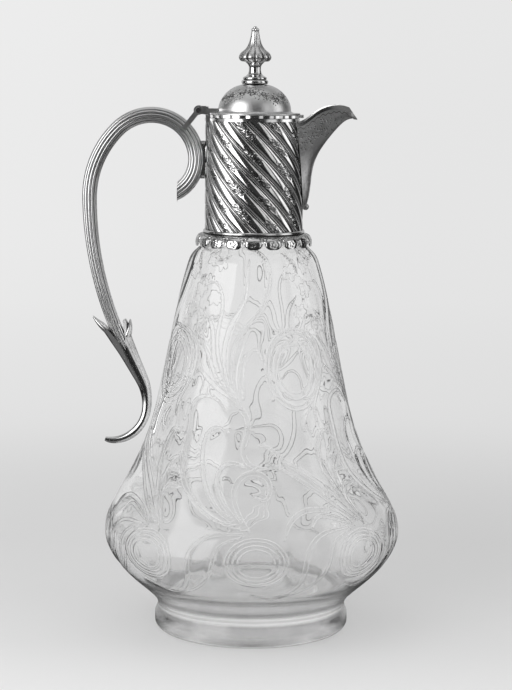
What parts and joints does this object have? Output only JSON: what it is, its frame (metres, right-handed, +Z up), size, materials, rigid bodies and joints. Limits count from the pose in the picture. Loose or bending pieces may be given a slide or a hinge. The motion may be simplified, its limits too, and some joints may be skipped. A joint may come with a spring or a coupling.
{
  "type": "claret jug",
  "caption": "Stemless cut-glass claret jug with a spirally fluted silver collar, beaked spout, scrolled handle and hinged domed lid with a finial.",
  "frame": {"origin": "centre of the foot's underside, on the surface it stands on", "axes": "+Z up along the body's axis, +X towards the spout, -X towards the handle and hinge"},
  "size_m": [0.1538, 0.1434, 0.29],
  "materials": {
    "cut_glass": "clear colourless glass, polished, with cut and engraved ornament",
    "silver": "polished silver, chased, with darker tarnish in the hollows",
    "plaster": "matt off-white plaster",
    "brass": "plain turned brass"
  },
  "bodies": {
    "jug": {"glass_body": "cut_glass", "neck_bedding": "plaster", "collar": "silver", "collar_rim": "silver", "base_wire": "silver", "collar_border": "silver", "spout": "silver", "spout_rim": "silver", "handle_pad": "silver", "handle_bar": "silver", "handle_tail": "silver", "hinge_bracket": "silver", "hinge_pin": "silver"},
    "lid": {"lid_rim": "silver", "lid_dome": "silver", "lid_bezel": "silver", "hinge_leaf": "silver", "finial_base": "silver", "finial_bell": "silver", "finial_knop": "silver", "finial_nut": "brass", "finial_stud": "brass"}
  },
  "joints": [
    {"name": "lid_hinge", "type": "hinge", "parent": "jug", "child": "lid", "pos_m": [-0.0266, 0, 0.2505], "axis": [0, -1, 0], "range_deg": [0, 100]}
  ]
}
